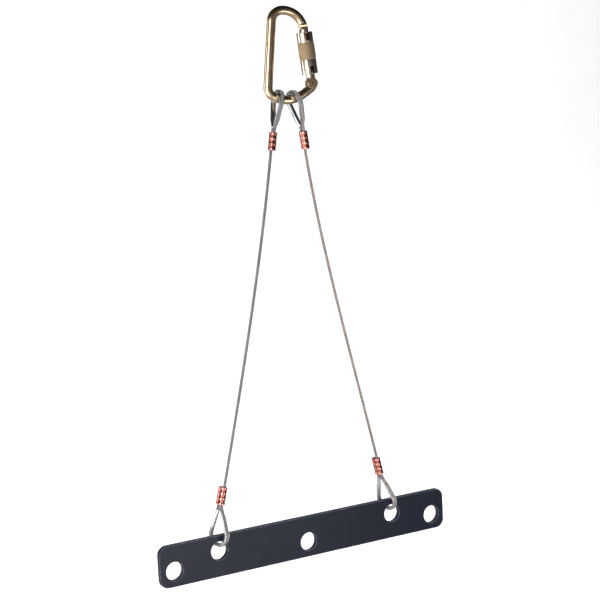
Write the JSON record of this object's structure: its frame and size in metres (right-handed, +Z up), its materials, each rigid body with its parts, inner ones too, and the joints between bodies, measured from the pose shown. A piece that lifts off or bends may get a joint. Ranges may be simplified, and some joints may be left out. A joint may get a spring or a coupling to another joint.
{
  "type": "wire rope spreader bar sling",
  "caption": "Hanging sling: an auto-locking gold carabiner holds wire rope legs with thimbled, copper-pressed eyes that carry a flat drilled steel bar.",
  "frame": {"origin": "the hang point: the middle of the inside of the carabiner's top bow, where the sling rests on what holds it", "axes": "+X along the spreader bar towards the gate side, +Y away from the bar's front face, +Z up"},
  "size_m": [0.4064, 0.0336, 0.6657],
  "materials": {
    "zinc_gold": "yellow zinc plate, satin, brown in its shadows",
    "pale_zinc_gold": "pale yellow zinc plate, satin",
    "pin_steel": "turned steel",
    "spring_steel": "drawn spring wire",
    "rope_steel": "galvanised stranded wire",
    "thimble_zinc": "galvanised, semi-gloss",
    "ferrule_copper": "pressed copper, satin",
    "bar_black": "satin black powder coat"
  },
  "bodies": {
    "carabiner": {"carabiner_body": "zinc_gold", "gate_rivet": "pin_steel"},
    "gate": {"gate": "pale_zinc_gold", "latch_pin": "pin_steel", "gate_spring": "spring_steel", "sleeve_guide_pin": "pin_steel", "sleeve_spring": "spring_steel"},
    "plunger": {"gate_plunger": "pin_steel"},
    "sleeve": {"locking_sleeve": "pale_zinc_gold"},
    "left_leg": {"left_rope": "rope_steel", "left_top_thimble": "thimble_zinc", "left_top_ferrule": "ferrule_copper", "left_bottom_thimble": "thimble_zinc", "left_bottom_ferrule": "ferrule_copper"},
    "right_leg": {"right_rope": "rope_steel", "right_top_thimble": "thimble_zinc", "right_top_ferrule": "ferrule_copper", "right_bottom_thimble": "thimble_zinc", "right_bottom_ferrule": "ferrule_copper"},
    "spreader_bar": {"spreader_bar": "bar_black"}
  },
  "joints": [
    {"name": "gate_hinge", "type": "hinge", "parent": "carabiner", "child": "gate", "pos_m": [0.03255, -0.00633, -0.08112], "axis": [-0.1908, -0.9816, 0], "range_deg": [0, 25], "stiffness_Nm_per_rad": 0.6, "springref_deg": -28.65},
    {"name": "plunger_slide", "type": "slide", "parent": "gate", "child": "plunger", "axis": [-0.1043, 0.0203, 0.9943], "range_m": [0, 0.0014], "deforming": ["gate_spring"]},
    {"name": "sleeve_turn", "type": "hinge", "parent": "gate", "child": "sleeve", "pos_m": [0.03255, -0.00633, -0.08112], "axis": [-0.1043, 0.0203, 0.9943], "range_deg": [0, 90], "stiffness_Nm_per_rad": 0.02, "springref_deg": -57.3},
    {"name": "left_leg_swing", "type": "hinge", "parent": "carabiner", "child": "left_leg", "pos_m": [0, 0, -0.09764], "axis": [0.9795, -0.1904, -0.0658], "range_deg": [-60, 60]},
    {"name": "right_leg_swing", "type": "hinge", "parent": "carabiner", "child": "right_leg", "pos_m": [0, 0, -0.09764], "axis": [0.9795, -0.1904, -0.0658], "range_deg": [-60, 60]},
    {"name": "bar_pivot", "type": "hinge", "parent": "left_leg", "child": "spreader_bar", "pos_m": [-0.12182, 0, -0.60435], "axis": [1, 0, -0.0022], "range_deg": [-25, 25]}
  ],
  "couplings": [
    {"joint": "plunger_slide", "follows": "gate_hinge", "m_per_rad": 0.00298},
    {"joint": "right_leg_swing", "follows": "left_leg_swing", "ratio": 1}
  ]
}
